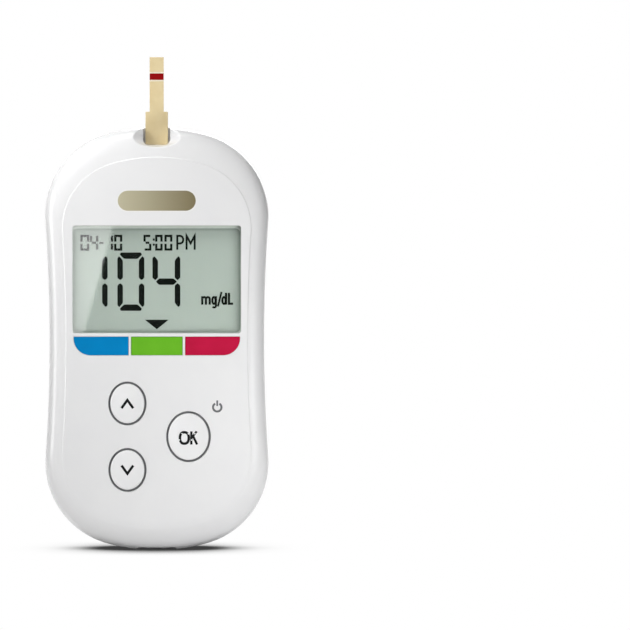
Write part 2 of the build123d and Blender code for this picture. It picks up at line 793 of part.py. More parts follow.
with BuildPart() as cell_seal:
    seal_range = (cell_front - can_sheet, cell_rear + can_sheet)
    add_post((0, cell_middle), cell_radius - can_sheet, seal_range)
    add_post((0, cell_middle), cell_radius - can_sheet - seal_thickness, seal_range, Mode.SUBTRACT)
finish(cell_seal.part, "cell_seal")

with BuildPart() as cell_cap:
    cap_radius = cell_radius - can_sheet - seal_thickness
    add_post((0, cell_middle), cap_radius, (cell_front, cell_rear + can_sheet))
    fillet(cell_cap.edges().group_by(Axis.Y)[0], cell_round)
finish(cell_cap.part, "cell_cap")

# ---- Battery contacts ----
with BuildPart() as negative_contact:
    add_block((-spring_width, spring_reach), (tray_front, tray_front - spring_thickness), spring_z)
    add_block(leg_x, (board_back, tray_front), spring_z)
finish(negative_contact.part, "negative_contact")

with BuildPart() as positive_contact:
    add_block(can_spring_x, (board_back, cell_rear + cell_round), spring_z)
finish(positive_contact.part, "positive_contact")

# ---- Data port on the board, its mouth in the foot ----
with BuildPart() as usb_shell:
    extrude(usb_section(usb_setback, 0), amount=usb_length)
    extrude(usb_section(usb_setback, -usb_sheet), amount=usb_length, mode=Mode.SUBTRACT)
finish(usb_shell.part, "usb_shell")

with BuildPart() as usb_tongue:
    base_height = usb_setback + usb_length - usb_base
    extrude(usb_section(base_height, -usb_sheet), amount=usb_base)
    tongue_middle = board_front + usb_height / 2
    tongue_x = (-usb_tongue_width / 2, usb_tongue_width / 2)
    tongue_depth = wider((tongue_middle, tongue_middle), usb_sheet)
    add_block(tongue_x, tongue_depth, (usb_setback + usb_sheet, base_height))
finish(usb_tongue.part, "usb_tongue")


# ---- Screws ----
def add_screw(spot, seat, length):
    """Pan-head screw whose head bears on a seat from behind, with a cross recess."""
    add_post(spot, screw_radius, (seat + length, seat))
    add_post(spot, screw_head_radius, (seat, seat - screw_head_height))
    x, z = spot
    for half_x, half_z in ((recess_length / 2, recess_width / 2), (recess_width / 2, recess_length / 2)):
        recess_depth = (seat - screw_head_height / 2, seat - screw_head_height)
        add_block(wider((x, x), half_x), recess_depth, wider((z, z), half_z), Mode.SUBTRACT)


with BuildPart() as case_screws:
    for spot in case_screw_spots:
        add_screw(spot, screw_seat, screw_length)
finish(case_screws.part, "case_screws")

with BuildPart() as board_screws:
    for spot in board_screw_spots:
        add_screw(spot, board_back, board_screw_length)
finish(board_screws.part, "board_screws")

# ---- Blank rating label ----
with BuildPart() as rating_label:
    extrude(rating_field(back_depth + fit_gap + label_thickness, 0), amount=-label_thickness)
finish(rating_label.part, "rating_label")
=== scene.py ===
# %% [markdown]
# # A blood glucose meter, from bare solids to a finished product picture
#
# The solids of the meter already exist, in metres, with one object for each real piece. This lesson
# gives each of them the finish of its real material, adds what is printed on them and shown by the
# display, and sets up a small white studio. The solids are never moved or reshaped.

# %% Load the solids
import math

import bmesh
import bpy
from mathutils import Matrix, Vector


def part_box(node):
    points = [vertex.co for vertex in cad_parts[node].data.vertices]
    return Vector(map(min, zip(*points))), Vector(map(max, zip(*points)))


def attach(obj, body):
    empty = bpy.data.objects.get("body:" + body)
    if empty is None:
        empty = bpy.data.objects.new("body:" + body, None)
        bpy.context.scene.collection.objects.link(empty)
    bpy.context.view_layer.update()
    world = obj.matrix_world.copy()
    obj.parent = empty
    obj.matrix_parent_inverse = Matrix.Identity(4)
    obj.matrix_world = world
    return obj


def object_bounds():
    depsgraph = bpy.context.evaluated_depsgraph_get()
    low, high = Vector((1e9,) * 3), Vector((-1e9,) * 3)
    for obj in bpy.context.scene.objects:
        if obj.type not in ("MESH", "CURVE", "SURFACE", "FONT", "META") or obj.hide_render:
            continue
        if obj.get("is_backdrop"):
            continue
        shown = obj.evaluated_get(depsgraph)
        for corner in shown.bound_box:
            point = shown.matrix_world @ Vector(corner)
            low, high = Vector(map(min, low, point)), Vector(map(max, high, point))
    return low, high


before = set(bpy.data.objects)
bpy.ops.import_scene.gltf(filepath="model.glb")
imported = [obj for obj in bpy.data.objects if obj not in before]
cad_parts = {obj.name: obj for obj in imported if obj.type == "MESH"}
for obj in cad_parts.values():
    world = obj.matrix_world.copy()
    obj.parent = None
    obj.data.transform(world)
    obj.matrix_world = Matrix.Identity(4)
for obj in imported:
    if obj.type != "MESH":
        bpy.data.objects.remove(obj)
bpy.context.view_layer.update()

MM = 0.001

# %% [markdown]
# ## Tools for colour and nodes
#
# Colours are written as the hex codes that a colour picker gives. Those are sRGB, and the render
# engine works in linear light, so one function turns them. Another adds a shader node, because a
# material is mostly nodes with a few settings and links. A pattern's scale is the inverse of its
# real size in metres, so sizes are written in millimetres and turned in one place.

# %% Colour, node and scale helpers
MIX_SHARE, MIX_A, MIX_B, MIX_RESULT = 0, 6, 7, 2      # sockets of a Mix node that mixes colours


def linear(code):
    """Linear RGBA of an sRGB hex code."""
    shares = [int(code[i:i + 2], 16) / 255 for i in (0, 2, 4)]
    light = [s / 12.92 if s <= 0.04045 else ((s + 0.055) / 1.055) ** 2.4 for s in shares]
    return (*light, 1.0)


def scale_of(size_mm):
    """Texture scale that gives features of about this size."""
    return 1 / (size_mm * MM)


def add_node(tree, kind, settings=None, values=None, links=None):
    """Add a node, set its settings and socket values, and link its inputs to other outputs."""
    made = tree.nodes.new(kind)
    for name, value in (settings or {}).items():
        setattr(made, name, value)
    for name, value in (values or {}).items():
        made.inputs[name].default_value = value
    for name, source in (links or {}).items():
        tree.links.new(source, made.inputs[name])
    return made


def empty_material(name):
    """A material whose node tree is still empty, and that tree."""
    material = bpy.data.materials.new(name)
    material.use_nodes = True
    material.node_tree.nodes.clear()
    return material, material.node_tree


def start_material(name, **sockets):
    """A Principled material with plain values set, and the object's coordinates for patterns."""
    material, tree = empty_material(name)
    shader = add_node(tree, "ShaderNodeBsdfPrincipled")
    for socket, value in sockets.items():
        shader.inputs[socket.replace("_", " ")].default_value = value
    add_node(tree, "ShaderNodeOutputMaterial", links={"Surface": shader.outputs["BSDF"]})
    place = add_node(tree, "ShaderNodeTexCoord").outputs["Object"]
    return material, tree, shader, place


print("white in linear light:", [round(v, 3) for v in linear("efeff0")[:3]])

# %% [markdown]
# ## Patterns that several finishes share
#
# No moulded or printed surface is one flat colour. Plastic drifts a little in tone as it cools,
# its roughness wanders, edges get polished by hands, and the steel of the mould leaves a fine
# grain. Each of these is one small function that reads a real size in millimetres, and one more
# puts them together, because most pieces of the meter are opaque and need all of them.

# %% Drift, worn edges and grain
FLAT_COSINE, EDGE_COSINE = 0.995, 0.85      # of the angle between a face and its rounded normal


def drift(tree, place, size_mm, first, second, contrast=0.25):
    """Colour that wanders between two tones in patches of a real size, and the second's share."""
    cloud = add_node(tree, "ShaderNodeTexNoise", values={"Scale": scale_of(size_mm), "Detail": 4.0},
                     links={"Vector": place})
    spread = add_node(tree, "ShaderNodeMapRange",
                      values={"From Min": 0.5 - contrast, "From Max": 0.5 + contrast},
                      links={"Value": cloud.outputs["Fac"]})
    mix = add_node(tree, "ShaderNodeMix", {"data_type": "RGBA"},
                   {MIX_A: linear(first), MIX_B: linear(second)},
                   {MIX_SHARE: spread.outputs["Result"]})
    return mix.outputs[MIX_RESULT], spread.outputs["Result"]


def worn_edges(tree, colour, radius_mm, tone):
    """The colour with another tone on its sharp edges, and the normal rounded over them."""
    rounded = add_node(tree, "ShaderNodeBevel", {"samples": 6}, {"Radius": radius_mm * MM})
    surface = add_node(tree, "ShaderNodeNewGeometry")
    along = add_node(tree, "ShaderNodeVectorMath", {"operation": "DOT_PRODUCT"},
                     links={0: rounded.outputs["Normal"], 1: surface.outputs["Normal"]})
    edge = add_node(tree, "ShaderNodeMapRange",
                    values={"From Min": FLAT_COSINE, "From Max": EDGE_COSINE},
                    links={"Value": along.outputs["Value"]})
    mix = add_node(tree, "ShaderNodeMix", {"data_type": "RGBA"}, {MIX_B: linear(tone)},
                   {MIX_SHARE: edge.outputs["Result"], MIX_A: colour})
    return mix.outputs[MIX_RESULT], rounded.outputs["Normal"]


def grain(tree, place, shader, size_mm, height_mm, normal=None, strength=1.0):
    """Bump of a fine random grain with a real size and height."""
    speckle = add_node(tree, "ShaderNodeTexNoise", links={"Vector": place},
                       values={"Scale": scale_of(size_mm), "Detail": 2.0})
    links = {"Height": speckle.outputs["Fac"]}
    if normal is not None:
        links["Normal"] = normal
    bump = add_node(tree, "ShaderNodeBump", links=links,
                    values={"Distance": height_mm * MM, "Strength": strength})
    tree.links.new(bump.outputs["Normal"], shader.inputs["Normal"])


def wander(tree, share, shader, low, high):
    """Roughness that follows a share between two values."""
    level = add_node(tree, "ShaderNodeMapRange", values={"To Min": low, "To Max": high},
                     links={"Value": share})
    tree.links.new(level.outputs["Result"], shader.inputs["Roughness"])


def opaque(name, first, second, patch_mm, rough, grain_mm, grain_height_mm,
           edge_mm=0.0, edge_tone=None, ior=1.53, specular=0.5):
    """Opaque finish: drifting tone, wandering roughness, fine grain and, if asked, worn edges."""
    material, tree, shader, place = start_material(name, IOR=ior, Specular_IOR_Level=specular)
    colour, share = drift(tree, place, patch_mm, first, second)
    normal = None
    if edge_mm:
        colour, normal = worn_edges(tree, colour, edge_mm, edge_tone)
    tree.links.new(colour, shader.inputs["Base Color"])
    grain(tree, place, shader, grain_mm, grain_height_mm, normal)
    wander(tree, share, shader, *rough)
    return material


dressed = set()


def dress(material, *names):
    """Give a material to the solids of these names."""
    for name in names:
        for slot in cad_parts[name].material_slots:
            slot.material = material
        dressed.add(name)


print("patterns ready")

# %% [markdown]
# ## The case
#
# The two shells and the battery door are injection-moulded ABS, white, with the satin that a
# lightly blasted mould leaves: the grain is less than a thousandth of a millimetre deep, and is
# drawn at 0.3 mm because a finer one would vanish between two pixels. Edges are rounded by 0.12 mm
# in the shading alone, which is what catches the thin highlights along them.

# %% Satin white ABS
satin_abs = opaque("satin moulded white ABS", "f1f1f1", "eeeeef", 9.0, (0.22, 0.27), 0.3, 0.0006,
                   edge_mm=0.12, edge_tone="f5f5f5")
dress(satin_abs, "front_shell", "rear_shell", "battery_door")

cap_abs = opaque("smooth moulded button ABS", "f5f5f5", "f1f1f2", 5.0, (0.22, 0.28), 0.25, 0.0008,
                 edge_mm=0.12, edge_tone="fafafa")
dress(cap_abs, "button_up", "button_down", "button_ok")
print(satin_abs.name, "and", cap_abs.name)

# %% [markdown]
# ## Rubber and foam
#
# One silicone mat carries all the buttons and shows as the dark ring round each cap. Its dark grey
# is in part painted shade: it stands in for the shade that falls into the gap round each cap.
# Silicone is matt and picks up dust, so its tone varies more than the plastic's. The display rests
# in a ring of pale closed-cell foam, whose cells are about 0.2 mm wide. A bar of conductive
# elastomer, built up in dark and light layers, joins the display's glass to the board.

# %% Silicone, foam and conductive rubber
# Dark grey in part as painted shade, for the gap round each cap.
silicone = opaque("matt moulded silicone rubber", "6e6f72", "7b7c7f", 1.2, (0.55, 0.70),
                  0.12, 0.004, ior=1.41)
dress(silicone, "keypad_mat")

foam = opaque("closed-cell foam", "c2c9c1", "b8c0b7", 0.8, (0.75, 0.85), 0.2, 0.010, ior=1.45)
dress(foam, "display_gasket")

zebra = opaque("layered conductive elastomer", "5a5b60", "8f9094", 0.4, (0.6, 0.7), 0.1, 0.004,
               ior=1.41)
dress(zebra, "zebra_connector")
print(silicone.name, foam.name, zebra.name, sep=", ")

# %% [markdown]
# ## Plastics inside
#
# These pieces are seen through gaps or when the meter is opened. Their colours follow the resin:
# black liquid-crystal polymer for what is soldered, natural white for the display holder, dark
# epoxy for the chips, grey polypropylene for the cell's seal.

# %% Inner plastics
holder = opaque("natural moulded ABS", "dcdcd8", "d2d2ce", 4.0, (0.42, 0.5), 0.3, 0.003)
dress(holder, "lcd_holder")
black_polymer = opaque("black liquid crystal polymer", "1d1d1f", "29292b", 1.0, (0.45, 0.6),
                       0.12, 0.003)
dress(black_polymer, "strip_socket", "usb_tongue")
chip_epoxy = opaque("moulded chip epoxy", "18181a", "232325", 0.6, (0.5, 0.65), 0.08, 0.003)
dress(chip_epoxy, "microcontroller", "measuring_chip")
seal = opaque("grey polypropylene seal", "54565a", "5f6165", 1.5, (0.4, 0.5), 0.2, 0.002, ior=1.49)
dress(seal, "cell_seal")
print("inner plastics dressed")

# %% [markdown]
# ## The range bar
#
# Three flush inlays, low, in range and high, are moulded from densely coloured polycarbonate. Their
# face has a fine matt grain, so the colour stays deep: little white light lies over it. That is
# what the low specular level says, and it is what tells them most from the glossy case. Each
# colour is a shade darker along the edges.

# %% Coloured inlays
INLAYS = (("range_bar_low", "matt blue polycarbonate", "0089cb", "0284c4", "0070ae"),
          ("range_bar_mid", "matt green polycarbonate", "70be2c", "69b728", "57a520"),
          ("range_bar_high", "matt crimson polycarbonate", "c61a45", "bd1840", "a41238"))
for bar, name, first, second, edge_tone in INLAYS:
    dress(opaque(name, first, second, 3.0, (0.42, 0.52), 0.2, 0.0006,
                 edge_mm=0.1, edge_tone=edge_tone, ior=1.58, specular=0.06), bar)
print("range bar dressed:", [row[0] for row in INLAYS])

# %% [markdown]
# ## The name plate
#
# The plate is aluminium under a champagne lacquer. Its colour runs from pale on the left to bronze
# on the right: a painted reflection of the studio, fixed on the plate. Brushing before the lacquer
# leaves fine lines along its length: real ones are about 0.05 mm apart, and are drawn at 0.12 mm so
# that they show. Stretching a noise along X is the simplest way to draw them, and a mix by the
# place along X paints the reflection.

# %% Champagne lacquered aluminium
BRUSH_MM = 0.12             # from one brushed line to the next
STRETCH = (0.03, 1.0, 1.0)  # the noise is drawn out along X
PAINTED_REFLECTION_MM = 8.0             # the shading runs this far to each side of the middle
METRE_MM = 1000.0           # patches of a metre leave the lines, which run from 0 to 1, as they are

champagne, tree, shader, place = start_material("champagne lacquered aluminium", Metallic=0.12,
                                                Roughness=0.42, Specular_IOR_Level=0.15)
squeezed = add_node(tree, "ShaderNodeMapping", values={"Scale": STRETCH}, links={"Vector": place})
lines = add_node(tree, "ShaderNodeTexNoise", values={"Scale": scale_of(BRUSH_MM), "Detail": 3.0},
                 links={"Vector": squeezed.outputs["Vector"]})
lacquer, _ = drift(tree, lines.outputs["Color"], METRE_MM, "9c9272", "a59b7a", 0.3)
# Painted reflection: pale on the left, bronze on the right, by the place along X, mixed into the
# lacquer.
across = add_node(tree, "ShaderNodeSeparateXYZ", links={"Vector": place})
along = add_node(tree, "ShaderNodeMapRange", links={"Value": across.outputs["X"]},
                 values={"From Min": -PAINTED_REFLECTION_MM * MM, "From Max": PAINTED_REFLECTION_MM * MM})
painted_reflection = add_node(tree, "ShaderNodeMix", {"data_type": "RGBA"},
                 {MIX_A: linear("d4cfb4"), MIX_B: linear("6c6042")},
                 {MIX_SHARE: along.outputs["Result"]})
lacquered = add_node(tree, "ShaderNodeMix", {"data_type": "RGBA"}, {MIX_SHARE: 0.35},
                     {MIX_A: painted_reflection.outputs[MIX_RESULT], MIX_B: lacquer})
tree.links.new(lacquered.outputs[MIX_RESULT], shader.inputs["Base Color"])
brushed = add_node(tree, "ShaderNodeBump", values={"Distance": 0.002 * MM, "Strength": 0.6},
                   links={"Height": lines.outputs["Fac"]})
tree.links.new(brushed.outputs["Normal"], shader.inputs["Normal"])
dress(champagne, "name_plate")
print(champagne.name)

# %% [markdown]
# ## The clear window
#
# The window is polished acrylic. Glass bends light, and a path tracer finds lamps through bent
# glass only by luck, so the display behind it would stay dark and noisy. The usual cure is to let
# the rays that look for lamps pass straight through, with the Light Path node.

# %% Polished acrylic
acrylic, tree, shader, place = start_material("polished clear acrylic", IOR=1.49,
                                              Roughness=0.02, Transmission_Weight=1.0)
tint, share = drift(tree, place, 12.0, "fbfcfb", "f9fafa")
tree.links.new(tint, shader.inputs["Base Color"])
wander(tree, share, shader, 0.015, 0.03)
clear = add_node(tree, "ShaderNodeBsdfTransparent", values={"Color": linear("fafbfa")})
ray = add_node(tree, "ShaderNodeLightPath")
passing = add_node(tree, "ShaderNodeMixShader", links={
    0: ray.outputs["Is Shadow Ray"], 1: shader.outputs["BSDF"], 2: clear.outputs["BSDF"]})
tree.links.new(passing.outputs["Shader"], tree.nodes["Material Output"].inputs["Surface"])
dress(acrylic, "display_window")
print(acrylic.name)

# %% [markdown]
# ## The liquid crystal panel
#
# A reflective display is a sandwich: polariser, glass, liquid crystal, glass, and a pearly film
# that sends the light back. All of it reads as one pale grey-green sheet with a very fine sparkle,
# so the front glass carries that look, and the digits lie on it.

# %% Panel and reflector
panel, tree, shader, place = start_material("liquid crystal panel", IOR=1.5)
tone, share = drift(tree, place, 7.0, "9ba59d", "97a199")
sparkle = add_node(tree, "ShaderNodeTexNoise", values={"Scale": scale_of(0.25), "Detail": 2.0},
                   links={"Vector": place})
glint = add_node(tree, "ShaderNodeMix", {"data_type": "RGBA", "blend_type": "SOFT_LIGHT"},
                 {MIX_SHARE: 0.10}, {MIX_A: tone, MIX_B: sparkle.outputs["Color"]})
tree.links.new(glint.outputs[MIX_RESULT], shader.inputs["Base Color"])
wander(tree, share, shader, 0.30, 0.38)
grain(tree, place, shader, 0.3, 0.001)
dress(panel, "lcd_front_glass", "lcd_rear_glass")

pearl = opaque("pearl reflector film", "aab3a9", "a0aa9f", 1.5, (0.35, 0.45), 0.15, 0.003, ior=1.5)
dress(pearl, "lcd_reflector")
print(panel.name, pearl.name, sep=", ")

# %% [markdown]
# ## The test strip
#
# A test strip is polyester film laminated over a printed base. Polyester has a slight sheen and
# the cream coat under it is a little uneven. The upper film is a touch lighter than the base.

# %% Laminated polyester film
strip_film = opaque("laminated cream polyester film", "ead8ab", "e2cd9c", 2.2, (0.34, 0.42),
                    0.15, 0.002, edge_mm=0.06, edge_tone="f2e6c6", ior=1.6)
dress(strip_film, "strip_film")
strip_base = opaque("cream polyester base", "d9c192", "cfb686", 1.8, (0.4, 0.5), 0.15, 0.003,
                    ior=1.6)
dress(strip_base, "strip_base")
print(strip_film.name, strip_base.name, sep=", ")

# %% [markdown]
# ## Metals
#
# Each metal keeps the default IOR and gets its colour from its base colour. What tells them apart
# is the finish: tin plate on the data port is bright with faint rolling lines, the cell is nickel
# plated and brushed, springs are drawn strip, screws are zinc plated and duller.

# %% Plated and drawn metals
def metal(name, first, second, rough, line_mm, stretch, depth_mm, edge_tone):
    """Metal with rolling or brushing lines drawn out one way, and brighter worn edges."""
    material, tree, shader, place = start_material(name, Metallic=1.0)
    drawn = add_node(tree, "ShaderNodeMapping", values={"Scale": stretch}, links={"Vector": place})
    colour, share = drift(tree, drawn.outputs["Vector"], line_mm * 4, first, second)
    colour, normal = worn_edges(tree, colour, 0.08, edge_tone)
    tree.links.new(colour, shader.inputs["Base Color"])
    grain(tree, drawn.outputs["Vector"], shader, line_mm, depth_mm, normal, strength=0.7)
    wander(tree, share, shader, *rough)
    return material


tin = metal("bright tin plate", "cfd0d2", "c3c4c7", (0.22, 0.32), 0.2, (1, 1, 0.08), 0.001,
            "e6e7e8")
dress(tin, "usb_shell", "clock_crystal")
nickel = metal("brushed nickel plate", "d3d2ce", "c4c3bf", (0.24, 0.34), 0.15, (0.06, 1, 1), 0.001,
               "ecebe8")
dress(nickel, "cell_can", "cell_cap", "negative_contact", "positive_contact")
spring = metal("bright stainless spring strip", "d6d6d7", "c9c9cb", (0.18, 0.28), 0.12,
               (0.1, 1, 1), 0.001, "eeeeef")
dress(spring, "dome_switches")
gold = metal("gold flash over nickel", "e3c47a", "d8b668", (0.2, 0.3), 0.1, (1, 1, 0.1), 0.001,
             "f2dca0")
dress(gold, "strip_contacts")
zinc = metal("zinc plated steel", "8f9296", "7f8286", (0.34, 0.46), 0.2, (1, 1, 1), 0.003,
             "b9bcc0")
dress(zinc, "case_screws", "board_screws")
print("metals dressed")

# %% [markdown]
# ## Board, ceramics and label
#
# The board is glass fibre under green solder mask. Its weave shows as a faint relief with threads
# about 1 mm apart, drawn here with two crossed wave patterns. The label is matt white film.

# %% Solder mask, ceramic and label film
WEAVE_SCALE = scale_of(0.5) / 6.28      # the bands of a wave pattern of this scale lie 1 mm apart

mask, tree, shader, place = start_material("green solder mask over glass fibre", IOR=1.55,
                                           Coat_Weight=0.3)
green, share = drift(tree, place, 5.0, "1d5c3c", "174f33")
warp, weft = [add_node(tree, "ShaderNodeTexWave", {"bands_direction": way}, {"Scale": WEAVE_SCALE},
                       {"Vector": place}) for way in "XZ"]
weave = add_node(tree, "ShaderNodeMath", {"operation": "ADD"},
                 links={0: warp.outputs["Fac"], 1: weft.outputs["Fac"]})
relief = add_node(tree, "ShaderNodeBump", values={"Distance": 0.004 * MM, "Strength": 0.5},
                  links={"Height": weave.outputs["Value"]})
tree.links.new(green, shader.inputs["Base Color"])
tree.links.new(relief.outputs["Normal"], shader.inputs["Normal"])
wander(tree, share, shader, 0.3, 0.4)
dress(mask, "circuit_board")

ceramic = opaque("sintered capacitor ceramic", "b79d7d", "a68c6c", 0.5, (0.4, 0.5), 0.08, 0.004,
                 ior=1.6)
dress(ceramic, "board_capacitors")
label = opaque("matt white label film", "e9e9e5", "e2e2de", 3.0, (0.5, 0.6), 0.1, 0.002, ior=1.5)
dress(label, "rating_label")
print("without a finish:", sorted(set(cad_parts) - dressed))

# %% [markdown]
# ## Drawing with flat shapes
#
# Everything printed or shown on the display is a thin mesh. These helpers make it, all in
# millimetres across the face: a polygon with softened corners, a pen line with mitred corners,
# points along an oval, a flat surface, and a function that turns a list of such shapes into one
# thin solid on a surface.

# %% Shapes and ink
MOST_OF_SIDE = 0.45         # of a side that one softened corner may take
LEAST_MITRE = 0.3           # keeps a sharp turn of the pen from growing a spike
WELD_MM = 0.002             # points nearer than this are one point


def softened(points, radius, steps=4):
    """Polygon with each corner replaced by a small curve."""
    smooth = []
    for i, corner in enumerate(points):
        corner = Vector(corner)
        ways = [Vector(points[i - 1]) - corner, Vector(points[(i + 1) % len(points)]) - corner]
        start, end = [corner + way * min(radius / way.length, MOST_OF_SIDE) for way in ways]
        for k in range(steps + 1):
            t = k / steps
            smooth.append(start * (1 - t) ** 2 + corner * 2 * t * (1 - t) + end * t ** 2)
    return smooth


def pen_line(path, width, closed=False, step=0.3):
    """Quads along a path, as a pen of this width would draw it, with mitred corners."""
    corners = [Vector(p) for p in path] + ([Vector(path[0])] if closed else [])
    dense = []
    for a, b in zip(corners, corners[1:]):
        count = max(1, math.ceil((b - a).length / step))
        dense += [a.lerp(b, i / count) for i in range(count)]
    if not closed:
        dense.append(corners[-1])
    sides = []
    for i, point in enumerate(dense):
        behind = point - dense[i - 1]
        ahead = dense[(i + 1) % len(dense)] - point if closed or i < len(dense) - 1 else behind
        if i == 0 and not closed:
            behind = ahead
        way = ahead.normalized() + behind.normalized()
        normal = Vector((-way.y, way.x)).normalized()
        mitre = max(normal.dot(Vector((-ahead.y, ahead.x)).normalized()), LEAST_MITRE)
        reach = width / 2 / mitre
        sides.append((point + normal * reach, point - normal * reach))
    pairs = list(zip(sides, sides[1:])) + ([(sides[-1], sides[0])] if closed else [])
    return [(a[0], b[0], b[1], a[1]) for a, b in pairs]


def oval(middle_x, middle_z, half_width, half_height, start, end):
    """Points along an oval between two angles in degrees, counted from the right and up."""
    count = max(2, round(abs(end - start) / 15))
    angles = [math.radians(start + (end - start) * i / count) for i in range(count + 1)]
    return [(middle_x + half_width * math.cos(a), middle_z + half_height * math.sin(a))
            for a in angles]


def flat_at(depth):
    """Flat surface at a distance in front of the middle plane."""
    return lambda x, z: -depth


def ink(name, shapes, front, thickness, material, body):
    """Thin solid with these outlines, its front face where front(x, z) says, riding on a body."""
    mesh = bmesh.new()
    for shape in shapes:
        mesh.faces.new([mesh.verts.new((x * MM, front(x, z) * MM, z * MM)) for x, z in shape])
    bmesh.ops.remove_doubles(mesh, verts=mesh.verts, dist=WELD_MM * MM)
    bmesh.ops.recalc_face_normals(mesh, faces=mesh.faces)
    for face in mesh.faces:
        if face.normal.y > 0:
            face.normal_flip()
    back = bmesh.ops.extrude_face_region(mesh, geom=list(mesh.faces), use_keep_orig=True)["geom"]
    moved = [v for v in back if isinstance(v, bmesh.types.BMVert)]
    bmesh.ops.translate(mesh, verts=moved, vec=(0, thickness * MM, 0))
    bmesh.ops.recalc_face_normals(mesh, faces=mesh.faces)
    data = bpy.data.meshes.new(name)
    mesh.to_mesh(data)
    mesh.free()
    piece = bpy.data.objects.new(name, data)
    bpy.context.scene.collection.objects.link(piece)
    data.materials.append(material)
    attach(piece, body)


print("drawing tools ready")

# %% [markdown]
# ## The reading
#
# Liquid crystal digits are seven bars. The upright bars are pointed where they meet in the middle
# and slanted where they meet the top and bottom bars, whose ends are cut to match. All corners are
# soft because the electrodes are etched. Each bar is drawn once, by distances in from the digit's
# edge and up from its middle, and mirrored into its place.

# %% Segment digits
SEGMENTS = {"0": "abcdef", "1": "bc", "4": "bcfg"}
READING_LOW, READING_HEIGHT = 48.88, 11.91
STROKE, LEVEL = 1.13, 1.30      # width of an upright bar, height of a level one
HALF_GAP, SOFT = 0.29, 0.16     # half the gap between two uprights, and the etched corners
SHOWN = 0.03                    # how far the crystal stands out of the glass, and how thick it is


def digit(character, left, width):
    """Outlines of one seven-segment digit of the reading."""
    reach = READING_HEIGHT / 2

    def placed(outline, side, rise):
        """Outline given in from an outer edge and up from the middle, put in its own corner."""
        edge = left if side < 0 else left + width
        return softened([(edge - side * inward, READING_LOW + reach + rise * up)
                         for inward, up in outline], SOFT)

    upright = [(0, HALF_GAP + 0.45 * STROKE), (0.5 * STROKE, HALF_GAP),
               (STROKE, HALF_GAP + 0.45 * STROKE), (STROKE, reach - 1.45 * STROKE),
               (0.35 * STROKE, reach - 0.65 * STROKE), (0, reach - 1.03 * STROKE)]
    outer = [(0.62 * STROKE, reach), (0.42 * STROKE, reach - 0.35 * LEVEL),
             (1.22 * STROKE, reach - LEVEL)]
    outer += [(width - inward, up) for inward, up in reversed(outer)]
    inner = [(0.6 * STROKE, 0), (1.2 * STROKE, LEVEL / 2), (width - 1.2 * STROKE, LEVEL / 2),
             (width - 0.6 * STROKE, 0), (width - 1.2 * STROKE, -LEVEL / 2),
             (1.2 * STROKE, -LEVEL / 2)]
    bars = {"a": (outer, -1, 1), "b": (upright, 1, 1), "c": (upright, 1, -1),
            "d": (outer, -1, -1), "e": (upright, -1, -1), "f": (upright, -1, 1),
            "g": (inner, -1, 1)}
    return [placed(*bars[name]) for name in SEGMENTS[character]]


crystal, faint = [
    opaque(name, first, second, 1.5, (0.28, 0.36), 0.3, 0.001, ior=1.5, specular=0.1)
    for name, first, second in (("dark liquid crystal", "060a07", "0c110d"),
                                ("half-driven liquid crystal", "0e120f", "161b17"))]
glass_front = -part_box("lcd_front_glass")[0].y / MM


def show(name, shapes, material):
    """Shapes shown by the display, just in front of its glass."""
    ink(name, shapes, flat_at(glass_front + SHOWN), SHOWN, material, "meter")


reading = []
for character, left, width in (("1", -15.53, 5.5), ("0", -8.04, 5.5), ("4", -0.89, 5.68)):
    reading += digit(character, left, width)
show("lcd_reading", reading, crystal)
print("glass front", round(glass_front, 3), "outlines in the reading:", len(reading))

# %% [markdown]
# ## The date, the clock and the pointer
#
# The small date and clock are the same kind of digit, but so small that a pen line along each bar
# draws them well enough. Between two refreshes the first digits of the date are only half driven,
# so they get a paler crystal. The pointer is a plain triangle over the range bar.

# %% Date, clock and pointer
SMALL_LOW, SMALL_HEIGHT = 61.16, 3.24
SMALL_GAP, LEVEL_INSET = 0.22, 0.2      # from the middle to an upright, from an edge to a level bar
DATE_PEN, CLOCK_PEN, LETTER_PEN, DASH_PEN = 0.47, 0.46, 0.42, 0.36


def small_digit(character, left, width, pen):
    """Seven-segment digit of the date and clock, drawn with a pen along its bars."""
    near, far = left + pen / 2, left + width - pen / 2
    low, top = SMALL_LOW + pen / 2, SMALL_LOW + SMALL_HEIGHT - pen / 2
    middle = (low + top) / 2
    over, under = middle + SMALL_GAP, middle - SMALL_GAP
    level = [(near + LEVEL_INSET, middle), (far - LEVEL_INSET, middle)]
    near_high, far_high, far_low = ([(near, over), (near, top)], [(far, over), (far, top)],
                                    [(far, under), (far, low)])
    paths = {"0": [[(near, over), (near, top), (far, top), (far, over)],
                   [(near, under), (near, low), (far, low), (far, under)]],
             "1": [far_high, far_low],
             "4": [near_high, level, far_high, far_low],
             "5": [[(far, top), (near, top), (near, over)], level, far_low + [(near, low)]]}
    return [quad for path in paths[character] for quad in pen_line(path, pen)]


date = small_digit("0", -15.60, 1.83, DATE_PEN) + small_digit("4", -13.64, 1.71, DATE_PEN)
date += pen_line([(-11.75, 62.74), (-10.83, 62.74)], DASH_PEN)
show("lcd_date", date, faint)

clock = []
for character, left, width in (("1", -10.6, 1.7), ("0", -8.69, 1.65), ("5", -2.72, 1.62),
                               ("0", -0.33, 1.52), ("0", 1.56, 1.62)):
    clock += small_digit(character, left, width, CLOCK_PEN)
for height in (62.38, 63.42):
    clock.append(softened([(-0.82, height - 0.22), (-0.4, height - 0.22), (-0.4, height + 0.22),
                           (-0.82, height + 0.22)], 0.12))
bowl = oval(4.7, 63.4, 0.7, 0.78, 90, -90)
clock += pen_line([(4.18, 61.34), (4.18, 64.18)] + bowl + [(4.18, 62.62)], LETTER_PEN)
clock += pen_line([(6.07, 61.34), (6.07, 64.2), (6.9, 62.65), (7.73, 64.2), (7.73, 61.34)],
                  LETTER_PEN)
show("lcd_clock", clock, crystal)

show("lcd_pointer", [softened([(-2.44, 47.06), (2.42, 47.06), (0.0, 45.1)], 0.1)], crystal)
print("outlines in the date and the clock:", len(date), len(clock))

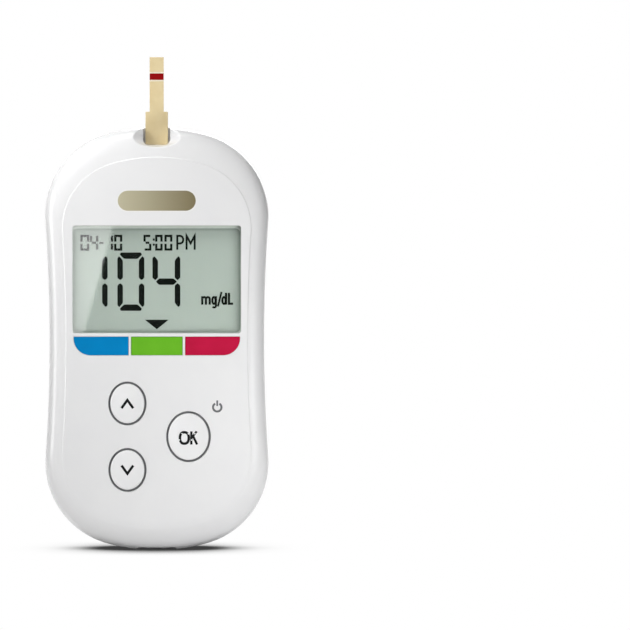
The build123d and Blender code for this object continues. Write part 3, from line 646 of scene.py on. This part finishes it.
# %% [markdown]
# ## The unit
#
# The unit of the reading is plain narrow lettering. Its letters are drawn with the same pen, from
# straight stems and half ovals, because the electrodes of a display are lines of one width too.
# The curves are a little thinner than the stems, as in any lettering.

# %% Unit lettering
BASE, LOW_TOP, CAP_TOP = 50.12, 51.86, 52.55
STEM, CURVE, SLASH = 0.46, 0.46 - 0.04, 0.46 - 0.06

unit = pen_line([(9.26, BASE), (9.26, LOW_TOP)], STEM)
for middle in (9.66, 10.42):
    unit += pen_line(oval(middle, 51.3, 0.36, 0.36, 150, 0) + [(middle + 0.36, BASE)], STEM)
unit += pen_line(oval(11.66, 50.98, 0.34, 0.7, 0, 360)[:-1], CURVE, closed=True)
unit += pen_line([(12.06, LOW_TOP)] + oval(11.7, 49.92, 0.36, 0.36, 0, -150), CURVE)
unit += pen_line([(12.46, 49.75), (13.2, 52.75)], SLASH)
unit += pen_line(oval(13.7, 50.98, 0.34, 0.7, 0, 360)[:-1], CURVE, closed=True)
unit += pen_line([(14.12, BASE), (14.12, CAP_TOP)], STEM)
unit += pen_line([(14.72, CAP_TOP), (14.72, BASE + 0.2), (15.55, BASE + 0.2)], STEM)
show("lcd_unit", unit, crystal)
print("outlines in the unit:", len(unit))

# %% [markdown]
# ## The edge of the display
#
# The foam ring stands in front of the glass. Along its inner edge a thin line is drawn on the
# glass:
# a painted shadow, the shade that the foam and the case would cast there. It is dark where it meets
# the foam and thins out inwards, so it is drawn as two rings of line, one darker and one paler.

# %% Painted shadow along the display's edge
FLANGE = 1.0                        # of the window, which the case covers all round
FOAM_SIDE, FOAM_TOP = 0.1, 0.63     # foam that shows inside the flange
CORNER = 1.1


def rounded_frame(low_x, high_x, low_z, high_z, radius):
    """Points round a rounded rectangle."""
    points = []
    for x, z, start in ((high_x, high_z, 0), (low_x, high_z, 90), (low_x, low_z, 180),
                        (high_x, low_z, 270)):
        inward_x = -1 if x == high_x else 1
        inward_z = -1 if z == high_z else 1
        points += oval(x + inward_x * radius, z + inward_z * radius, radius, radius,
                       start, start + 90)
    return points


low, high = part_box("display_window")
# Painted shadow: a darker ring by the foam and a paler one further in, both on the glass.
for name, finish, first, second, inset, line in (
        ("lcd_painted_shadow_dark", "dark painted shadow line", "7f8a82", "858f88", 0.15, 0.32),
        ("lcd_painted_shadow_pale", "pale painted shadow line", "909b92", "959f97", 0.45, 0.30)):
    path = rounded_frame(low.x / MM + FLANGE + FOAM_SIDE + inset,
                         high.x / MM - FLANGE - FOAM_SIDE - inset,
                         low.z / MM + FLANGE + inset,
                         high.z / MM - FLANGE - FOAM_TOP - inset, CORNER - inset)
    ink(name, pen_line(path, line, closed=True), flat_at(glass_front + 0.02), 0.015,
        opaque(finish, first, second, 1.0, (0.45, 0.55), 0.12, 0.001, ior=1.5),
        "meter")
print("display edge drawn, window from", [round(v / MM, 2) for v in low])

# %% [markdown]
# ## Legends on the buttons
#
# The legends are tampo printed: a soft pad lays a film of black ink a few thousandths of a
# millimetre thick on the domed cap. The shapes follow the dome, whose radius is 45 mm, and the ring
# of the O is a squared oval, as in most narrow lettering.

# %% Chevrons, OK and the power sign
ink_black = opaque("black tampo ink", "0e0e0f", "161618", 0.6, (0.45, 0.55), 0.08, 0.001,
                   ior=1.5, specular=0.15)
ink_grey = opaque("grey tampo ink", "606163", "68696c", 0.6, (0.38, 0.5), 0.08, 0.001, ior=1.5)
DOME = 45.0
FILM, SUNK = 0.003, 0.02        # ink above the surface, and all of its thickness
CHEVRON_PEN, ROUND_PEN, STEM_PEN, ARM_PEN = 0.52, 0.53, 0.48, 0.44


def dome_of(button):
    """Surface of a cap's dome, with the ink's film on it, and the cap's middle."""
    low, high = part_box(button)
    middle_x, middle_z, top = (low.x + high.x) / 2 / MM, (low.z + high.z) / 2 / MM, -low.y / MM

    def front(x, z):
        sag = DOME - math.sqrt(DOME ** 2 - (x - middle_x) ** 2 - (z - middle_z) ** 2)
        return -(top - sag + FILM)
    return front, middle_x, middle_z


for button, body, lift in (("button_up", "up_button", 1), ("button_down", "down_button", -1)):
    front, x, z = dome_of(button)
    arms = [(x - 1.2, z - lift * 0.95), (x, z + lift * 0.72), (x + 1.2, z - lift * 0.95)]
    ink(button + "_legend", pen_line(arms, CHEVRON_PEN), front, SUNK, ink_black, body)

front, x, z = dome_of("button_ok")


def squared(value):
    """Sine or cosine pushed outwards, which squares the oval that it draws."""
    return math.copysign(abs(value) ** 0.85, value)


turns = [2 * math.pi * i / 32 for i in range(32)]
ring = [(x - 0.84 + 0.9 * squared(math.cos(turn)), z - 0.23 + 1.16 * squared(math.sin(turn)))
        for turn in turns]
letters = pen_line(ring, ROUND_PEN, closed=True)
letters += pen_line([(x + 0.58, z - 1.58), (x + 0.58, z + 1.12)], STEM_PEN)
letters += pen_line([(x + 1.68, z + 1.12), (x + 0.62, z - 0.25)], ARM_PEN)
letters += pen_line([(x + 0.95, z + 0.12), (x + 1.76, z - 1.58)], STEM_PEN)
ink("button_ok_legend", letters, front, SUNK, ink_black, "ok_button")

SIGN_X, SIGN_Z, SIGN_RADIUS = 12.3, 29.28, 0.86
SIGN_PEN, SIGN_STEM = 0.42, 0.36
face = -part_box("name_plate")[0].y / MM
turns = [math.radians(30 + 300 * i / 30) for i in range(31)]
arc = [(SIGN_X + SIGN_RADIUS * math.sin(turn), SIGN_Z + SIGN_RADIUS * math.cos(turn))
       for turn in turns]
sign = pen_line(arc, SIGN_PEN)
sign += pen_line([(SIGN_X, SIGN_Z + 0.25), (SIGN_X, SIGN_Z + 1.4)], SIGN_STEM)
ink("power_sign", sign, flat_at(face + FILM), SUNK, ink_grey, "meter")
print("face at", round(face, 3), "mm")

# %% [markdown]
# ## Small trim
#
# A bright rim a quarter of a millimetre wide frames the name plate, and a red line is printed
# across the test strip near the end where the blood is drawn in, with a pale line on each side.

# %% Plate rim and strip marks
RIM = 0.26
low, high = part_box("name_plate")
half_height = (high.z - low.z) / 2 / MM
straight = (high.x - low.x) / 2 / MM - half_height
middle = (low.z + high.z) / 2 / MM
reach = half_height + RIM / 2
pill = [(straight + reach * math.sin(a), middle + reach * math.cos(a))
        for a in [math.pi * i / 16 for i in range(17)]]
pill += [(-x, 2 * middle - z) for x, z in pill]
rim_white = opaque("bright white lacquer", "f6f6f4", "f0f0ee", 2.0, (0.2, 0.3), 0.1, 0.001, ior=1.5)
ink("name_plate_rim", pen_line(pill, RIM, closed=True), flat_at(face + 0.03), 0.05, rim_white,
    "meter")

STRIP_HALF = 1.43                   # half the width of the strip's narrow end
RED_FILM, PALE_FILM = 0.006, 0.005
RED_BAND = (95.85, 97.18)
PALE_LINES = ((95.55, 95.85), (97.18, 97.48))
strip_face = -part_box("strip_film")[0].y / MM
ink_red = opaque("red screen ink", "9c0c10", "8c080c", 0.8, (0.5, 0.6), 0.08, 0.001, ior=1.5,
                 specular=0.1)
ink_pale = opaque("pale screen ink", "f3ecd6", "efe6cc", 0.8, (0.35, 0.45), 0.08, 0.001, ior=1.5)


def across_strip(low, high):
    """Band printed across the narrow end of the strip between two heights."""
    return [(-STRIP_HALF, low), (STRIP_HALF, low), (STRIP_HALF, high), (-STRIP_HALF, high)]


ink("strip_red_band", [across_strip(*RED_BAND)], flat_at(strip_face + RED_FILM), RED_FILM,
    ink_red, "test_strip")
ink("strip_pale_lines", [across_strip(*line) for line in PALE_LINES],
    flat_at(strip_face + PALE_FILM), PALE_FILM, ink_pale, "test_strip")
print("trim drawn, strip face at", round(strip_face, 3), "mm")

# %% [markdown]
# ## The studio
#
# A white floor runs out of sight. To the camera, to mirrors and to glass it is plain white like the
# world round it, and darker only where the meter stands close: there it keeps the shadow. Two
# occlusion nodes measure that, one leaning to the left and one to the right, and the lighter of
# the two counts, because light from the sides reaches in under both ends of the meter. Rays that
# carry light between surfaces see a light grey floor and a dim world instead, so that the lamps do
# the lighting and the lower side of the meter falls off in tone as it does on a real table.

# %% Floor and world
LEAN = 0.71                             # sine and cosine of 45 degrees
SHADOW_REACH_MM = 20.0
UNDER, OUTSIDE = 0.52, 0.98             # occlusion deep in the shadow, and where it ends
DARKEST = 0.05
WORLD_LIGHT = 0.18


def seen_rays(tree):
    """Socket that is 1 for rays of the camera, of mirrors and of glass, and 0 for all others."""
    ray = add_node(tree, "ShaderNodeLightPath")
    clearly = add_node(tree, "ShaderNodeMath", {"operation": "MAXIMUM"}, links={
        0: ray.outputs["Is Camera Ray"], 1: ray.outputs["Is Transmission Ray"]})
    seen = add_node(tree, "ShaderNodeMath", {"operation": "MAXIMUM"}, links={
        0: clearly.outputs["Value"], 1: ray.outputs["Is Glossy Ray"]})
    return seen.outputs["Value"]


floor_data = bpy.data.meshes.new("floor")
floor_mesh = bmesh.new()
bmesh.ops.create_grid(floor_mesh, x_segments=8, y_segments=8, size=6.0)
floor_mesh.to_mesh(floor_data)
floor_mesh.free()
floor = bpy.data.objects.new("floor", floor_data)
bpy.context.scene.collection.objects.link(floor)
floor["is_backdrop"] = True

paper, tree = empty_material("white paper sweep")
skies = []
for side in (-LEAN, LEAN):
    leaning = add_node(tree, "ShaderNodeCombineXYZ", values={"X": side, "Z": LEAN})
    skies.append(add_node(tree, "ShaderNodeAmbientOcclusion", {"samples": 24},
                          {"Distance": SHADOW_REACH_MM * MM},
                          {"Normal": leaning.outputs["Vector"]}).outputs["AO"])
open_sky = add_node(tree, "ShaderNodeMath", {"operation": "MAXIMUM"},
                    links={0: skies[0], 1: skies[1]})
shade = add_node(tree, "ShaderNodeMapRange", {"interpolation_type": "SMOOTHSTEP"},
                 {"From Min": UNDER, "From Max": OUTSIDE, "To Min": DARKEST, "To Max": 1.0},
                 {"Value": open_sky.outputs["Value"]})
shown = add_node(tree, "ShaderNodeEmission", links={"Strength": shade.outputs["Result"]})
unseen = add_node(tree, "ShaderNodeBsdfDiffuse", values={"Color": (0.80, 0.80, 0.80, 1.0)})
choice = add_node(tree, "ShaderNodeMixShader", links={
    0: seen_rays(tree), 1: unseen.outputs["BSDF"], 2: shown.outputs["Emission"]})
add_node(tree, "ShaderNodeOutputMaterial", links={"Surface": choice.outputs["Shader"]})
floor_data.materials.append(paper)

world = bpy.data.worlds.new("studio")
bpy.context.scene.world = world
world.use_nodes = True
tree = world.node_tree
tree.nodes.clear()
strength = add_node(tree, "ShaderNodeMapRange", values={"To Min": WORLD_LIGHT, "To Max": 1.0},
                    links={"Value": seen_rays(tree)})
sky = add_node(tree, "ShaderNodeBackground", values={"Color": (1.0, 1.0, 1.0, 1.0)},
               links={"Strength": strength.outputs["Result"]})
add_node(tree, "ShaderNodeOutputWorld", links={"Surface": sky.outputs["Background"]})
print("floor and world ready, world light", WORLD_LIGHT)

# %% [markdown]
# ## Lamps
#
# A soft key lamp stands close at the upper left, where its light falls off over the face from left
# to right. A second one, low on the right, lifts the lower right corner. Both are kept out of
# mirrors, so that they add tone without a hard glint on the rims. A tall lamp at the left draws
# the bright left rim, a square one overhead lights the crown and the notch, and a large one behind
# keeps the back readable.

# %% Soft lamps
LAMPS_AIM = Vector((0.0, 0.0, 0.05))


def soft_lamp(name, place, size, power, mirrored=True):
    """Rectangular lamp at a place, in metres and watts, turned towards the meter."""
    data = bpy.data.lights.new(name, "AREA")
    data.shape = "RECTANGLE"
    data.size, data.size_y = size
    data.energy = power
    lamp = bpy.data.objects.new(name, data)
    bpy.context.scene.collection.objects.link(lamp)
    lamp.location = place
    lamp.rotation_euler = (LAMPS_AIM - Vector(place)).to_track_quat("-Z", "Y").to_euler()
    lamp.visible_camera = False
    lamp.visible_glossy = mirrored


soft_lamp("key_left", (-0.05, -0.06, 0.125), (0.04, 0.04), 0.037, mirrored=False)
soft_lamp("low_right", (0.06, -0.09, 0.025), (0.04, 0.03), 0.044, mirrored=False)
soft_lamp("side_left", (-0.25, -0.06, 0.07), (0.08, 0.14), 0.19)
soft_lamp("top", (-0.03, -0.06, 0.32), (0.12, 0.12), 0.227)
soft_lamp("back_fill", (0.10, 0.35, 0.20), (0.25, 0.25), 0.45)

# %% [markdown]
# ## Cards in front of the display and at the sides
#
# A flat window is a mirror. A photographer hangs a black card where the camera would otherwise
# see the white room in it, and lets a slanted strip of a lit card show at one side, which gives
# the window its soft glare. A black card stands at each side too, and gives the rims their soft
# dark line. The camera sees none of the cards, and only the side cards take light away.

# %% Black cards and lit card
CARD_PLANE = -300.0                         # in front of the meter
CARD_LOW, CARD_HIGH = 1.0, 120.0
LIT_LEFT, BLACK_RIGHT = -45.0, 150.0
SLANT_LOW, SLANT_HIGH = -25.0, 7.2          # foot and top of the slanted seam of the two cards
SIDE_PLANE = 170.0                          # to the left and to the right of the meter
SIDE_LOW, SIDE_HIGH = -5.0, 200.0
RIGHT_SPAN, LEFT_SPAN = (-90.0, 120.0), (10.0, 160.0)


def card(name, corners, material, shades=False):
    """Card between corners in mm, seen in reflections and, where it shades, by soft light."""
    data = bpy.data.meshes.new(name)
    data.from_pydata([(x * MM, y * MM, z * MM) for x, y, z in corners], [], [range(len(corners))])
    data.materials.append(material)
    made = bpy.data.objects.new(name, data)
    bpy.context.scene.collection.objects.link(made)
    made.visible_camera = made.visible_shadow = False
    made.visible_diffuse = shades
    made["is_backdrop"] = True


def front_card(name, low_left, low_right, high_right, high_left, material):
    """Card in front of the meter, from where its four corners stand along X."""
    card(name, [(low_left, CARD_PLANE, CARD_LOW), (low_right, CARD_PLANE, CARD_LOW),
                (high_right, CARD_PLANE, CARD_HIGH), (high_left, CARD_PLANE, CARD_HIGH)], material)


def side_card(name, x, span, material):
    """Black card beside the meter, from its nearer to its further edge along Y."""
    near, far = span
    card(name, [(x, near, SIDE_LOW), (x, far, SIDE_LOW), (x, far, SIDE_HIGH),
                (x, near, SIDE_HIGH)], material, shades=True)


velvet, tree = empty_material("black velvet card")
cloth = add_node(tree, "ShaderNodeBsdfDiffuse", values={"Color": (0.01, 0.01, 0.01, 1.0)})
add_node(tree, "ShaderNodeOutputMaterial", links={"Surface": cloth.outputs["BSDF"]})
lit, tree = empty_material("lit white card")
glow = add_node(tree, "ShaderNodeEmission", values={"Strength": 2.9})
add_node(tree, "ShaderNodeOutputMaterial", links={"Surface": glow.outputs["Emission"]})

front_card("black_card", SLANT_LOW, BLACK_RIGHT, BLACK_RIGHT, SLANT_HIGH, velvet)
front_card("lit_card", LIT_LEFT, SLANT_LOW, SLANT_HIGH, LIT_LEFT, lit)
side_card("right_card", SIDE_PLANE, RIGHT_SPAN, velvet)
side_card("left_card", -SIDE_PLANE, LEFT_SPAN, velvet)
print("cards hung at", CARD_PLANE, "mm in front and", SIDE_PLANE, "mm to each side")

# %% [markdown]
# ## The camera
#
# A long lens from a little above the table keeps the sides of the meter nearly parallel. The
# picture shows 128.4 mm across at the face, which sets the distance, and the camera aims a little
# to the right of the meter, so that it stands left of the middle.

# %% Long lens
PIXEL_MM = 0.2038
PICTURE = 630
METER_COLUMN, FOOT_ROW = 156.83, 551.0      # where the meter's middle and its foot come to stand
FACE_MM = -8.0
LENS, SENSOR = 600.0, 36.0
ELEVATION = math.radians(2.5)

distance = PICTURE * PIXEL_MM * MM * LENS / SENSOR
camera_data = bpy.data.cameras.new("camera")
camera_data.lens = LENS
camera_data.sensor_width = SENSOR
camera = bpy.data.objects.new("camera", camera_data)
bpy.context.scene.collection.objects.link(camera)
aim = Vector(((PICTURE / 2 - METER_COLUMN) * PIXEL_MM * MM, FACE_MM * MM,
              (FOOT_ROW - PICTURE / 2) * PIXEL_MM * MM))
camera.location = (0.0, aim.y - distance * math.cos(ELEVATION),
                   aim.z + distance * math.sin(ELEVATION))
camera.rotation_euler = (aim - camera.location).to_track_quat("-Z", "Y").to_euler()
bpy.context.scene.camera = camera
bpy.context.scene.view_settings.view_transform = "Standard"
print("camera at", [round(v, 3) for v in camera.location], "m, distance", round(distance, 3))

# %% [markdown]
# ## Sizes
#
# The box round every shown piece, with the floor and the cards left out, is measured at the end.

# %% Measure the sizes
low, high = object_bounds()
